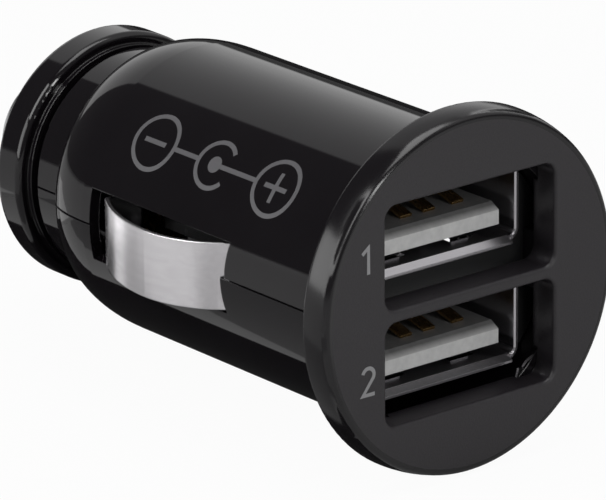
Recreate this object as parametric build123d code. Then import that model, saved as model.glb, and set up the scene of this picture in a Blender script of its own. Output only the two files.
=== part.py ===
from build123d import *
from math import cos, radians, sin
import os

# Compact car charger plug with two stacked USB-A sockets, in millimetres.
# +X points out of the socket face, +Z is up, and the barrel's axis is the X axis.
# The origin is where that axis crosses the back of the front flange, which stops
# the plug against the rim of the car's power socket.

# Barrel, split on the plane Z = 0 into an upper and a lower shell
BARREL_RADIUS = 10.4
BARREL_LENGTH = 26.4
SHELL_WALL = 0.85
SHOULDER_LENGTH = 4.55
SHOULDER_DROP = 1.5
NECK_RADIUS = 8.3
NECK_LENGTH = 3.25
NECK_BORE_RADIUS = 6.6
SPIGOT_RADIUS = 7.6
SPIGOT_END_GAP = 0.23
SEAM_GROOVE_WIDTH = 0.12
SEAM_GROOVE_DEPTH = 0.2
LIP_THICKNESS = 0.4
LIP_HEIGHT = 0.8
LIP_SETBACK = 0.7
LIP_LENGTH = 2.7

# Front bezel: flange, face plate with two windows, and two snap legs
RIM_RADIUS = 12.63
RIM_THICKNESS = 2.25
RIM_LAND = 0.25
RIM_CROWN_RADIUS = 6.4
FACE_EDGE_FILLET = 0.3
RIM_BACK_FILLET = 0.2
BARREL_SEAT_DEPTH = 0.4
WINDOW_SIDE_GAP = 0.775
WINDOW_HEIGHT = 7.2
WINDOW_RIB = 0.9
WINDOW_CORNER_RADIUS = 0.95
WINDOW_EDGE_FILLET = 0.3
LEG_EDGE_GAP = 0.425
LEG_THICKNESS = 1.1
LEG_WIDTH = 4.0
LEG_LENGTH = 5.2
HOOK_LENGTH = 0.9
HOOK_HEIGHT = 0.65

# USB-A receptacles, one above the other
USB_OPENING_WIDTH = 12.5
USB_OPENING_HEIGHT = 5.12
USB_WALL = 0.3
USB_CORNER_RADIUS = 0.8
USB_DEPTH = 10.4
USB_SETBACK = 0.62
USB_PITCH = 8.4
USB_RAISE = 0.44
USB_LIP_CHAMFER = 0.1
USB_FLARE_DROP = 0.44
USB_FLARE_RUN = 0.3
USB_FLARE_EDGE = 0.2
USB_FLARE_END_GAP = 0.2
USB_LEG_WIDTH = 1.6
USB_LEG_PROUD = 0.4
USB_SPRING_SPACING = 6.0
USB_SPRING_WIDTH = 1.5
USB_SPRING_LENGTH = 4.6
USB_SPRING_INSET = 1.9
USB_SPRING_RISE = 0.32
USB_SPRING_SLOT = 0.3
FRAME_THICKNESS = 0.8
FRAME_SETBACK = 0.7
FRAME_SIDE_WIDTH = 0.75
TONGUE_WIDTH = 11.1
TONGUE_THICKNESS = 1.44
TONGUE_FLOOR_GAP = 0.67
TONGUE_SETBACK = 0.85
TONGUE_BEVEL_RISE = 0.43
TONGUE_BEVEL_RUN = 0.74
USB_BASE_DEPTH = 1.1
USB_CONTACT_WIDTH = 1.0
USB_CONTACT_THICKNESS = 0.2
USB_CONTACT_RISE = 0.5
USB_CONTACT_INSET = 1.8
USB_CONTACT_INNER_Y = 1.0
USB_CONTACT_OUTER_Y = 3.5

# Side contacts: bowed leaf springs that stand out through slots in the barrel
LEAF_WIDTH = 4.7
LEAF_THICKNESS = 0.3
LEAF_PROUD = 2.15
LEAF_PEAK_X = -16.7
LEAF_SHOULDER_SINK = 0.1
LEAF_BEND_RADIUS = 0.3
LEAF_FRONT_SLOPE = 45
LEAF_FRONT_TAIL_DEPTH = 1.0
LEAF_FRONT_TAIL_LENGTH = 1.45
LEAF_REAR_TAIL_DEPTH = 3.0
LEAF_REAR_TAIL_LENGTH = 2.3
LEAF_REAR_GAP = 1.75
LEAF_STROKE = 2.2
SLOT_REAR_X = -25.55
SLOT_SIDE_GAP = 0.2
SLOT_UPPER_STEP = 0.45
CONTACT_TAB_THICKNESS = 0.4
CONTACT_TAB_HEIGHT = 1.6
CONTACT_TAB_FOOT = 0.8

# Nose: retaining ring, centre pin, its spring and the terminal behind it
RING_RADIUS = 9.14
RING_WIDTH = 2.2
RING_FRONT_ROUND = 0.45
RING_COLLAR_RADIUS = 8.35
RING_COLLAR_WIDTH = 0.4
RING_BACK_LENGTH = 0.85
RING_BACK_RADIUS = 7.6
RING_WALL = 1.3
NECK_GROOVE = 0.68
PIN_RADIUS = 4.8
PIN_PROUD = 5.9
PIN_TIP_ROUND = 1.8
PIN_FLANGE_RADIUS = 5.9
PIN_FLANGE_THICKNESS = 0.95
PIN_STEM_RADIUS = 2.2
PIN_STROKE = 2.2
SPRING_RADIUS = 3.3
SPRING_WIRE = 0.5
SPRING_TURNS = 5
TERMINAL_RADIUS = 4.8
TERMINAL_THICKNESS = 0.5
TERMINAL_FOOT_WIDTH = 3.0
TERMINAL_FOOT_LENGTH = 1.4

# Circuit boards and the parts soldered to them
BOARD_THICKNESS = 0.8
SOCKET_BOARD_GAP = 0.35
MAIN_BOARD_HALF_WIDTH = 6.2
MAIN_BOARD_TAIL_GAP = 0.5
MAIN_BOARD_WAIST_GAP = 0.9
POST_RADIUS = 1.1
POST_EDGE_GAP = 1.1
POST_SIDE_GAP = 0.2
RIB_THICKNESS = 0.6
RIB_HEIGHT = 0.8
RIB_CUT_HALF_HEIGHT = 4.2
OUTPUT_CAPACITOR_RADIUS = 2.6
OUTPUT_CAPACITOR_HEIGHT = 6.8
INPUT_CAPACITOR_RADIUS = 2.0
INPUT_CAPACITOR_HEIGHT = 5.4
CAPACITOR_EDGE_ROUND = 0.4
INDUCTOR_RADIUS = 2.2
INDUCTOR_HEIGHT = 4.2
INDUCTOR_FLANGE = 0.7
INDUCTOR_CORE_RADIUS = 1.1
WINDING_INSET = 0.15
CHIP_LENGTH = 4.9
CHIP_WIDTH = 3.9
CHIP_HEIGHT = 1.5
CHIP_LEADS_A_SIDE = 4
CHIP_LEAD_PITCH = 1.27
CHIP_LEAD_WIDTH = 0.4
CHIP_LEAD_REACH = 1.0
CHIP_LEAD_THICKNESS = 0.25
DIODE_SIZE = (4.4, 2.6, 2.1)
RESISTOR_SIZE = (0.8, 1.6, 0.5)
RESISTOR_PITCH = 1.9
RESISTOR_COUNT = 4
CERAMIC_SIZE = (1.25, 2.0, 0.9)
CERAMIC_Y = 2.2
FUSE_SIZE = (1.6, 3.2, 0.8)
SOLDER_SIZE = 0.9
SOLDER_WIDTH = 1.4
SOLDER_PITCH = 2.4
SOLDER_COUNT = 5

# Clearances between neighbouring pieces, and how far a cut runs past what it cuts
FIT_GAP = 0.1
RUN_GAP = 0.15
OVERRUN = 1.0

# Places that follow from the sizes above
SHOULDER_END_X = -(BARREL_LENGTH + SHOULDER_LENGTH)
NECK_END_X = SHOULDER_END_X - NECK_LENGTH
CAVITY_RADIUS = BARREL_RADIUS - SHELL_WALL
CAVITY_END_X = SHOULDER_END_X + SHELL_WALL
USB_FRONT_X = -USB_SETBACK
USB_REAR_X = USB_FRONT_X - USB_DEPTH
USB_OUTER_WIDTH = USB_OPENING_WIDTH + 2 * USB_WALL
USB_OUTER_HEIGHT = USB_OPENING_HEIGHT + 2 * USB_WALL
USB_FLARE_WIDTH = USB_OPENING_WIDTH - 2 * USB_FLARE_END_GAP
USB_FLARE_ROOT = USB_FLARE_RUN + USB_FLARE_EDGE
WINDOW_WIDTH = USB_OUTER_WIDTH + 2 * WINDOW_SIDE_GAP
LEG_INNER_Y = WINDOW_WIDTH / 2 + LEG_EDGE_GAP
USB_CENTRES = {"upper": USB_RAISE + USB_PITCH / 2, "lower": USB_RAISE - USB_PITCH / 2}
USB_CONTACT_PLACES = (
    -USB_CONTACT_OUTER_Y,
    -USB_CONTACT_INNER_Y,
    USB_CONTACT_INNER_Y,
    USB_CONTACT_OUTER_Y,
)
SOCKET_BOARD_REAR_X = USB_REAR_X - BOARD_THICKNESS
BOARD_TOP_Z = BOARD_THICKNESS / 2
MAIN_BOARD_REAR_X = CAVITY_END_X + FIT_GAP
TERMINAL_REAR_X = MAIN_BOARD_REAR_X - TERMINAL_THICKNESS
RING_FRONT_X = NECK_END_X - NECK_GROOVE
BAND_FRONT_X = RING_FRONT_X - RING_COLLAR_WIDTH
BAND_REAR_X = BAND_FRONT_X - RING_WIDTH
RING_REAR_X = BAND_REAR_X - RING_BACK_LENGTH
RING_SEAT_X = RING_REAR_X + RING_WALL
SPIGOT_END_X = RING_SEAT_X + SPIGOT_END_GAP
PIN_FLANGE_REAR_X = RING_SEAT_X + FIT_GAP
PIN_FLANGE_FRONT_X = PIN_FLANGE_REAR_X + PIN_FLANGE_THICKNESS
PIN_STEM_END_X = TERMINAL_REAR_X - PIN_STROKE - FIT_GAP
PIN_TIP_X = RING_REAR_X - PIN_PROUD
SLOT_HALF_HEIGHT = LEAF_WIDTH / 2 + SLOT_SIDE_GAP
LEAF_SLOPE_SIN = sin(radians(LEAF_FRONT_SLOPE))
LEAF_SLOPE_COS = cos(radians(LEAF_FRONT_SLOPE))
LEAF_SLOPE_TAN = LEAF_SLOPE_SIN / LEAF_SLOPE_COS
LEAF_BOW = LEAF_PROUD + LEAF_SHOULDER_SINK - LEAF_THICKNESS / 2
LEAF_FRONT_X = LEAF_PEAK_X + LEAF_BOW / (1 - LEAF_SLOPE_COS) * LEAF_SLOPE_SIN
LEAF_LIP_GAP = LEAF_THICKNESS / 2 + RUN_GAP
SLOT_FRONT_X = LEAF_FRONT_X + LEAF_LIP_GAP / LEAF_SLOPE_SIN - LEAF_SHOULDER_SINK / LEAF_SLOPE_TAN
LEAF_REAR_X = SLOT_REAR_X + LEAF_REAR_GAP
LEAF_FRONT_TAIL_Y = BARREL_RADIUS - LEAF_FRONT_TAIL_DEPTH
LEAF_REAR_TAIL_Y = BARREL_RADIUS - LEAF_REAR_TAIL_DEPTH
LEAF_REAR_END_X = LEAF_REAR_X - LEAF_REAR_TAIL_LENGTH
LEAF_PRESSED_FRONT_Y = LEAF_FRONT_TAIL_Y - LEAF_THICKNESS - LEAF_STROKE
LEAF_PRESSED_REAR_Y = LEAF_REAR_TAIL_Y - LEAF_THICKNESS - LEAF_STROKE
MAIN_BOARD_TAIL_HALF_WIDTH = LEAF_PRESSED_REAR_Y - MAIN_BOARD_TAIL_GAP
MAIN_BOARD_WAIST_X = LEAF_REAR_X + LEAF_THICKNESS + MAIN_BOARD_WAIST_GAP
POST_X = MAIN_BOARD_WAIST_X + POST_RADIUS + POST_EDGE_GAP
POST_Y = MAIN_BOARD_HALF_WIDTH - POST_RADIUS - POST_SIDE_GAP
LEG_OUTER_Y = LEG_INNER_Y + LEG_THICKNESS
LIP_FRONT_X = -LEG_LENGTH - LIP_SETBACK
LIP_REAR_X = LIP_FRONT_X - LIP_LENGTH
SIDES = {"left": -1, "right": 1}
HALVES = {"upper": 1, "lower": -1}
LONG = 4 * BARREL_LENGTH


def row_places(front_x, rear_x, lengths):
    """Centres of parts set in a row along X between two limits, with even gaps."""
    gap = (front_x - rear_x - sum(lengths)) / (len(lengths) + 1)
    places = []
    edge = front_x
    for length in lengths:
        places.append(edge - gap - length / 2)
        edge -= gap + length
    return places


OUTPUT_CAPACITOR_X, INDUCTOR_X, INPUT_CAPACITOR_X = row_places(
    SOCKET_BOARD_REAR_X,
    MAIN_BOARD_REAR_X,
    (2 * OUTPUT_CAPACITOR_RADIUS, 2 * INDUCTOR_RADIUS, 2 * INPUT_CAPACITOR_RADIUS),
)
RESISTOR_ROW_X, CHIP_X, CERAMIC_X, DIODE_X, FUSE_X = row_places(
    SOCKET_BOARD_REAR_X,
    MAIN_BOARD_REAR_X + TERMINAL_FOOT_LENGTH,
    (RESISTOR_SIZE[0], CHIP_LENGTH, CERAMIC_SIZE[0], DIODE_SIZE[0], FUSE_SIZE[0]),
)


def span_box(x_span, y_span, z_span):
    """Box between pairs of limits along each axis."""
    spans = [sorted(span) for span in (x_span, y_span, z_span)]
    sizes = [high - low for low, high in spans]
    centre = [(high + low) / 2 for low, high in spans]
    return Pos(*centre) * Box(*sizes)


def rod_x(radius, x_from, x_to):
    """Cylinder along the X axis between two stations."""
    return Pos((x_from + x_to) / 2, 0, 0) * Rot(0, 90, 0) * Cylinder(radius, abs(x_to - x_from))


def post_z(radius, x, y, z_from, z_to):
    """Upright cylinder between two heights."""
    return Pos(x, y, (z_from + z_to) / 2) * Cylinder(radius, abs(z_to - z_from))


def rounded_bar(width, height, corner, x_from, x_to, centre_z):
    """Bar along X with a rounded rectangular section, centred on Y = 0."""
    start = Plane(origin=(x_from, 0, centre_z), x_dir=(0, 1, 0), z_dir=(1, 0, 0))
    return extrude(start * RectangleRounded(width, height, corner), amount=x_to - x_from)


def turned(*edges):
    """Solid of revolution about X from a closed outline drawn in X and radius."""
    return revolve(make_face(Curve() + list(edges)), Axis.X)


def strip(path, thickness, width, plane):
    """Bent strip: a middle line drawn in a plane, given a thickness and a width across it."""
    return extrude(plane * trace(path.edges(), thickness), amount=width / 2, both=True)


def barrel_form(inset, tail_radius, front_x, rear_x):
    """Turned form of the barrel and its rounded shoulder, shrunk by an inset, with a tail."""
    radius = BARREL_RADIUS - inset
    low_radius = radius - SHOULDER_DROP
    end_x = SHOULDER_END_X + inset
    return turned(
        Polyline((front_x, 0), (front_x, radius), (-BARREL_LENGTH, radius)),
        EllipticalCenterArc(
            (-BARREL_LENGTH, low_radius), -BARREL_LENGTH - end_x, SHOULDER_DROP, 90, arc_size=90
        ),
        Polyline(
            (end_x, low_radius),
            (end_x, tail_radius),
            (rear_x, tail_radius),
            (rear_x, 0),
            (front_x, 0),
        ),
    )


def front_bezel():
    """Flange with a crowned rim, two windows, a groove for the barrel and hooked legs."""
    crown_run = RIM_THICKNESS - RIM_LAND
    crown_drop = RIM_CROWN_RADIUS - (RIM_CROWN_RADIUS**2 - crown_run**2) ** 0.5
    edge_radius = RIM_RADIUS - crown_drop
    plate = turned(
        Polyline((0, 0), (0, RIM_RADIUS), (RIM_LAND, RIM_RADIUS)),
        RadiusArc((RIM_LAND, RIM_RADIUS), (RIM_THICKNESS, edge_radius), RIM_CROWN_RADIUS),
        Polyline((RIM_THICKNESS, edge_radius), (RIM_THICKNESS, 0), (0, 0)),
    )
    plate = fillet(plate.edges().group_by(Axis.X)[-1], FACE_EDGE_FILLET)
    plate = fillet(plate.edges().group_by(Axis.X)[0], RIM_BACK_FILLET)
    seat = rod_x(BARREL_RADIUS + FIT_GAP, -OVERRUN, BARREL_SEAT_DEPTH)
    plate -= seat - rod_x(CAVITY_RADIUS - FIT_GAP, -LONG, LONG)
    for sign in HALVES.values():
        centre_z = sign * (WINDOW_RIB + WINDOW_HEIGHT) / 2
        plate -= rounded_bar(
            WINDOW_WIDTH, WINDOW_HEIGHT, WINDOW_CORNER_RADIUS, -LONG, LONG, centre_z
        )
    rims = plate.edges().group_by(Axis.X)[-1].filter_by(
        lambda edge: edge.bounding_box().max.Y < WINDOW_WIDTH / 2 + WINDOW_CORNER_RADIUS
    )
    plate = fillet(rims, WINDOW_EDGE_FILLET)
    for sign in SIDES.values():
        half = LEG_WIDTH / 2
        plate += span_box((0, -LEG_LENGTH), (sign * LEG_INNER_Y, sign * LEG_OUTER_Y), (-half, half))
        ramp = Polyline(
            (-LEG_LENGTH, LEG_OUTER_Y),
            (-LEG_LENGTH + HOOK_LENGTH, LEG_OUTER_Y + HOOK_HEIGHT),
            (-LEG_LENGTH + HOOK_LENGTH, LEG_OUTER_Y),
            close=True,
        )
        hook = extrude(make_face(ramp), amount=half, both=True)
        plate += hook if sign > 0 else mirror(hook, Plane.XZ)
    return plate


def shell_half(half):
    """Upper or lower half of the hollow barrel, with its slots, ribs and posts."""
    sign = HALVES[half]
    outside = barrel_form(0, NECK_RADIUS, BARREL_SEAT_DEPTH, NECK_END_X)
    outside += rod_x(SPIGOT_RADIUS, SHOULDER_END_X, SPIGOT_END_X)
    cavity = barrel_form(SHELL_WALL, NECK_BORE_RADIUS, OVERRUN, SPIGOT_END_X - OVERRUN)
    half_space = span_box((-LONG, LONG), (-LONG, LONG), (0, sign * LONG))
    shell = (outside - cavity) & half_space
    shell -= seam_groove(outside)
    shell -= usb_envelope(half)
    shell += board_rib(half) + board_posts(half)
    if half == "lower":
        shell += seam_lips()
    for side in SIDES:
        shell -= contact_slot(side, half) + hook_pocket(side)
    return shell


def seam_groove(outside):
    """Shallow groove round the outside of the barrel where the two halves meet."""
    core = barrel_form(
        SEAM_GROOVE_DEPTH, NECK_RADIUS - SEAM_GROOVE_DEPTH, OVERRUN, SPIGOT_END_X - OVERRUN
    )
    half = SEAM_GROOVE_WIDTH / 2
    return (outside - core) & span_box((-LONG, LONG), (-LONG, LONG), (-half, half))


def usb_envelope(half):
    """Room inside the barrel for one receptacle's metal shell and its flared lip."""
    room = rounded_bar(
        USB_OUTER_WIDTH + 2 * FIT_GAP,
        USB_OUTER_HEIGHT + 2 * FIT_GAP,
        USB_CORNER_RADIUS + FIT_GAP,
        USB_REAR_X - FIT_GAP,
        OVERRUN,
        USB_CENTRES[half],
    )
    low_z = USB_CENTRES[half] - USB_OPENING_HEIGHT / 2 - USB_FLARE_DROP - USB_FLARE_EDGE
    half_width = USB_FLARE_WIDTH / 2 + FIT_GAP
    return room + span_box(
        (USB_FRONT_X - USB_FLARE_ROOT - FIT_GAP, OVERRUN),
        (-half_width, half_width),
        (low_z - FIT_GAP, USB_CENTRES[half]),
    )


def board_rib(half):
    """Rib inside the barrel that stops the socket board from moving back."""
    rear_x = SOCKET_BOARD_REAR_X - FIT_GAP
    ring = rod_x(CAVITY_RADIUS + SHELL_WALL / 2, rear_x, rear_x - RIB_THICKNESS)
    ring -= rod_x(CAVITY_RADIUS - RIB_HEIGHT, -LONG, LONG)
    sign = HALVES[half]
    return ring & span_box((-LONG, LONG), (-LONG, LONG), (sign * RIB_CUT_HALF_HEIGHT, sign * LONG))


def board_posts(half):
    """Two posts that hold the main board between the halves."""
    sign = HALVES[half]
    gap = 0 if half == "lower" else FIT_GAP
    wall = rod_x(CAVITY_RADIUS + SHELL_WALL / 2, -LONG, LONG)
    posts = [
        post_z(POST_RADIUS, POST_X, y, sign * (BOARD_TOP_Z + gap), sign * BARREL_RADIUS)
        for y in (-POST_Y, POST_Y)
    ]
    return (posts[0] + posts[1]) & wall


def seam_lips():
    """Thin lips on the lower half that line the two halves up."""
    outer = CAVITY_RADIUS - FIT_GAP
    arc = rod_x(outer, LIP_FRONT_X, LIP_REAR_X) - rod_x(outer - LIP_THICKNESS, -LONG, LONG)
    above = arc & span_box((-LONG, LONG), (-LONG, LONG), (-LIP_HEIGHT, LIP_HEIGHT))
    root = rod_x(CAVITY_RADIUS + FIT_GAP, LIP_FRONT_X, LIP_REAR_X)
    root -= rod_x(outer - LIP_THICKNESS, -LONG, LONG)
    root &= span_box((-LONG, LONG), (-LONG, LONG), (-2 * LIP_HEIGHT, -LIP_HEIGHT / 2))
    return above + root


def contact_slot(side, half):
    """Slot through the barrel for a side contact, with a ramped lip over the leaf's front tail."""
    sign = SIDES[side]
    lip_x = SLOT_FRONT_X + (SLOT_UPPER_STEP if half == "upper" else 0)
    open_x = lip_x - SHELL_WALL / LEAF_SLOPE_TAN
    heights = (-SLOT_HALF_HEIGHT, SLOT_HALF_HEIGHT)
    slot = span_box((open_x, SLOT_REAR_X), (sign * LEG_INNER_Y, sign * LONG), heights)
    pocket_x = (SLOT_REAR_X, LEAF_FRONT_X + LEAF_FRONT_TAIL_LENGTH + RUN_GAP)
    roof_y = LEAF_FRONT_TAIL_Y + RUN_GAP
    slot += span_box(pocket_x, (sign * LEG_INNER_Y, sign * roof_y), heights)
    ramp = Polyline(
        (open_x, LEG_INNER_Y),
        (open_x, BARREL_RADIUS + SHELL_WALL),
        (lip_x + (BARREL_RADIUS - roof_y) / LEAF_SLOPE_TAN, roof_y),
        (lip_x + (BARREL_RADIUS - roof_y) / LEAF_SLOPE_TAN, LEG_INNER_Y),
        close=True,
    )
    wedge = extrude(make_face(ramp), amount=SLOT_HALF_HEIGHT, both=True)
    return slot + (wedge if sign > 0 else mirror(wedge, Plane.XZ))


def hook_pocket(side):
    """Pocket inside the barrel that a bezel leg's hook snaps into."""
    sign = SIDES[side]
    half = LEG_WIDTH / 2 + RUN_GAP
    front_x = -LEG_LENGTH + HOOK_LENGTH + RUN_GAP
    outer_y = LEG_OUTER_Y + HOOK_HEIGHT + RUN_GAP
    rear_x = -LEG_LENGTH - RUN_GAP
    return span_box((front_x, rear_x), (sign * LEG_INNER_Y, sign * outer_y), (-half, half))


def side_contact(side):
    """Bowed leaf spring that slopes in under the barrel wall, with a deep rear tail."""
    middle = LEAF_THICKNESS / 2
    peak = (LEAF_PEAK_X, BARREL_RADIUS + LEAF_PROUD - middle)
    rear_x = LEAF_REAR_X + middle
    shoulder_y = BARREL_RADIUS - LEAF_SHOULDER_SINK
    front_y = LEAF_FRONT_TAIL_Y - middle
    rear_y = LEAF_REAR_TAIL_Y - middle
    shoulder = (LEAF_FRONT_X, shoulder_y)
    foot_x = LEAF_FRONT_X + (shoulder_y - front_y) / LEAF_SLOPE_TAN
    bends = [(rear_x, rear_y), (rear_x, shoulder_y), (foot_x, front_y)]
    line = Wire(
        [
            Line((LEAF_REAR_END_X, rear_y), bends[0]),
            Line(bends[0], bends[1]),
            TangentArc(peak, bends[1], tangent=(-1, 0)),
            TangentArc(peak, shoulder, tangent=(1, 0)),
            Line(shoulder, bends[2]),
            Line(bends[2], (LEAF_FRONT_X + LEAF_FRONT_TAIL_LENGTH, front_y)),
        ]
    )
    corners = [
        vertex
        for vertex in line.vertices()
        if any((Vector(vertex) - Vector(*bend)).length < middle / 10 for bend in bends)
    ]
    leaf = strip(line.fillet_2d(LEAF_BEND_RADIUS, corners), LEAF_THICKNESS, LEAF_WIDTH, Plane.XY)
    return leaf if SIDES[side] > 0 else mirror(leaf, Plane.XZ)


def contact_tab(side):
    """Upright brass tab on the main board that a side contact's rear tail wipes."""
    sign = SIDES[side]
    front_x = LEAF_REAR_END_X - RUN_GAP
    inner_y = MAIN_BOARD_TAIL_HALF_WIDTH - CONTACT_TAB_FOOT
    return span_box(
        (front_x, front_x - CONTACT_TAB_THICKNESS),
        (sign * inner_y, sign * LEAF_REAR_TAIL_Y),
        (BOARD_TOP_Z, BOARD_TOP_Z + CONTACT_TAB_HEIGHT),
    )


def nose_ring():
    """Ring that holds the two halves together at the neck and keeps the centre pin in."""
    front_radius = RING_RADIUS - RING_FRONT_ROUND
    outline = turned(
        Polyline(
            (RING_FRONT_X, 0),
            (RING_FRONT_X, RING_COLLAR_RADIUS),
            (BAND_FRONT_X, RING_COLLAR_RADIUS),
            (BAND_FRONT_X, front_radius),
        ),
        RadiusArc(
            (BAND_FRONT_X, front_radius),
            (BAND_FRONT_X - RING_FRONT_ROUND, RING_RADIUS),
            -RING_FRONT_ROUND,
        ),
        Line((BAND_FRONT_X - RING_FRONT_ROUND, RING_RADIUS), (BAND_REAR_X, RING_RADIUS)),
        EllipticalCenterArc(
            (BAND_REAR_X, RING_BACK_RADIUS),
            RING_BACK_LENGTH,
            RING_RADIUS - RING_BACK_RADIUS,
            90,
            arc_size=90,
        ),
        Polyline((RING_REAR_X, RING_BACK_RADIUS), (RING_REAR_X, 0), (RING_FRONT_X, 0)),
    )
    bore = rod_x(SPIGOT_RADIUS + FIT_GAP, RING_FRONT_X + OVERRUN, RING_SEAT_X)
    return outline - bore - rod_x(PIN_RADIUS + RUN_GAP, -LONG, LONG)


def centre_pin():
    """Spring-loaded centre contact with a rounded tip, a flange and a spring guide."""
    tip_flat = PIN_RADIUS - PIN_TIP_ROUND
    round_x = PIN_TIP_X + PIN_TIP_ROUND
    return turned(
        Polyline(
            (PIN_STEM_END_X, 0),
            (PIN_STEM_END_X, PIN_STEM_RADIUS),
            (PIN_FLANGE_FRONT_X, PIN_STEM_RADIUS),
            (PIN_FLANGE_FRONT_X, PIN_FLANGE_RADIUS),
            (PIN_FLANGE_REAR_X, PIN_FLANGE_RADIUS),
            (PIN_FLANGE_REAR_X, PIN_RADIUS),
            (round_x, PIN_RADIUS),
        ),
        CenterArc((round_x, tip_flat), PIN_TIP_ROUND, 90, 90),
        Polyline((PIN_TIP_X, tip_flat), (PIN_TIP_X, 0), (PIN_STEM_END_X, 0)),
    )


def pin_spring():
    """Coil spring between the terminal and the centre pin's flange."""
    start_x = PIN_FLANGE_FRONT_X + SPRING_WIRE / 2 + FIT_GAP
    height = TERMINAL_REAR_X - FIT_GAP - SPRING_WIRE / 2 - start_x
    coil = Helix(height / SPRING_TURNS, height, SPRING_RADIUS)
    section = Plane(origin=coil @ 0, z_dir=coil % 0) * Circle(SPRING_WIRE / 2)
    wire = sweep(section, path=coil, is_frenet=True)
    return Pos(start_x, 0, 0) * Rot(0, 90, 0) * wire


def spring_terminal():
    """Round brass terminal on the end of the main board that the spring presses on."""
    disc = rod_x(TERMINAL_RADIUS, MAIN_BOARD_REAR_X, TERMINAL_REAR_X)
    foot = span_box(
        (TERMINAL_REAR_X, MAIN_BOARD_REAR_X + TERMINAL_FOOT_LENGTH),
        (-TERMINAL_FOOT_WIDTH / 2, TERMINAL_FOOT_WIDTH / 2),
        (-BOARD_TOP_Z, -BOARD_TOP_Z - TERMINAL_THICKNESS),
    )
    return disc + foot


def usb_shell(half):
    """Folded metal shell of one receptacle, with springs in its floor and roof."""
    centre_z = USB_CENTRES[half]
    tube = rounded_bar(
        USB_OUTER_WIDTH, USB_OUTER_HEIGHT, USB_CORNER_RADIUS, USB_REAR_X, USB_FRONT_X, centre_z
    )
    tube -= rounded_bar(
        USB_OPENING_WIDTH,
        USB_OPENING_HEIGHT,
        USB_CORNER_RADIUS - USB_WALL,
        USB_REAR_X - OVERRUN,
        USB_FRONT_X + OVERRUN,
        centre_z,
    )
    mouth = tube.faces().sort_by(Axis.X)[-1].inner_wires()[0].edges()
    tube = chamfer(mouth, USB_LIP_CHAMFER)
    tube = flared_lip(tube, centre_z - USB_OPENING_HEIGHT / 2)
    for y in (-USB_SPRING_SPACING / 2, USB_SPRING_SPACING / 2):
        for up in (1, -1):
            tube -= shell_spring_slot(y, up, centre_z)
            tube += shell_spring(y, up, centre_z)
    for sign in SIDES.values():
        outer_y = sign * USB_OUTER_WIDTH / 2
        tube += span_box(
            (USB_REAR_X + USB_LEG_WIDTH, SOCKET_BOARD_REAR_X - USB_LEG_PROUD),
            (outer_y, outer_y - sign * USB_WALL),
            (centre_z - USB_LEG_WIDTH / 2, centre_z + USB_LEG_WIDTH / 2),
        )
    return tube


def flared_lip(tube, floor_z):
    """Shell with the front of its floor bent down, so that a plug is led in."""
    rear_x = USB_FRONT_X - USB_FLARE_RUN
    low_z = floor_z - USB_FLARE_DROP
    above = Polyline((rear_x, floor_z), (USB_FRONT_X, low_z), (USB_FRONT_X, floor_z), close=True)
    bent = Polyline(
        (rear_x, floor_z),
        (USB_FRONT_X, low_z),
        (USB_FRONT_X, low_z - USB_FLARE_EDGE),
        (USB_FRONT_X - USB_FLARE_ROOT, floor_z - USB_WALL),
        close=True,
    )
    for side_view, sign in ((above, -1), (bent, 1)):
        block = extrude(Plane.XZ * make_face(side_view), amount=USB_FLARE_WIDTH / 2, both=True)
        tube = tube + block if sign > 0 else tube - block
    return tube


def shell_spring_slot(y, up, centre_z):
    """Cut round one spring in the floor (up = 1) or the roof (up = -1) of a shell."""
    front_x = USB_FRONT_X - USB_SPRING_INSET + USB_SPRING_SLOT
    half = USB_SPRING_WIDTH / 2 + USB_SPRING_SLOT
    wall_z = centre_z - up * USB_OPENING_HEIGHT / 2
    return span_box(
        (front_x, USB_FRONT_X - USB_SPRING_INSET - USB_SPRING_LENGTH),
        (y - half, y + half),
        (wall_z + up * USB_WALL, wall_z - up * 2 * USB_WALL),
    )


def shell_spring(y, up, centre_z):
    """Bowed spring finger, rooted at the back of its slot and bent into the opening."""
    front_x = USB_FRONT_X - USB_SPRING_INSET
    rear_x = front_x - USB_SPRING_LENGTH - USB_SPRING_SLOT
    wall_z = -(USB_OPENING_HEIGHT + USB_WALL) / 2
    bow = ThreePointArc(
        (rear_x, wall_z),
        (front_x - USB_SPRING_LENGTH / 3, wall_z + USB_SPRING_RISE + USB_WALL / 2),
        (front_x, wall_z + USB_SPRING_RISE),
    )
    finger = strip(bow, USB_WALL, USB_SPRING_WIDTH, Plane.XZ)
    finger = finger if up > 0 else mirror(finger, Plane.XY)
    return Pos(0, y, centre_z) * finger


def socket_frame():
    """Thin plate round the receptacle shells that closes the gap behind the windows."""
    front_x = USB_FRONT_X - FRAME_SETBACK
    rear_x = front_x - FRAME_THICKNESS
    radius = CAVITY_RADIUS - FIT_GAP
    reach_y = USB_OUTER_WIDTH / 2 + FRAME_SIDE_WIDTH
    reach_z = (radius**2 - reach_y**2) ** 0.5
    plate = rod_x(radius, front_x, rear_x)
    plate &= span_box((-LONG, LONG), (-LONG, LONG), (-reach_z, reach_z))
    for centre_z in USB_CENTRES.values():
        plate -= rounded_bar(
            USB_OUTER_WIDTH, USB_OUTER_HEIGHT, USB_CORNER_RADIUS, -LONG, LONG, centre_z
        )
    notch_y = LEG_INNER_Y - RUN_GAP
    notch_z = LEG_WIDTH / 2 + RUN_GAP
    for sign in SIDES.values():
        plate -= span_box((-LONG, LONG), (sign * notch_y, sign * LONG), (-notch_z, notch_z))
    return plate


def tongue_top_z(half):
    """Height of the tongue's contact face in one receptacle."""
    floor_z = USB_CENTRES[half] - USB_OPENING_HEIGHT / 2
    return floor_z + TONGUE_FLOOR_GAP + TONGUE_THICKNESS


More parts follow.
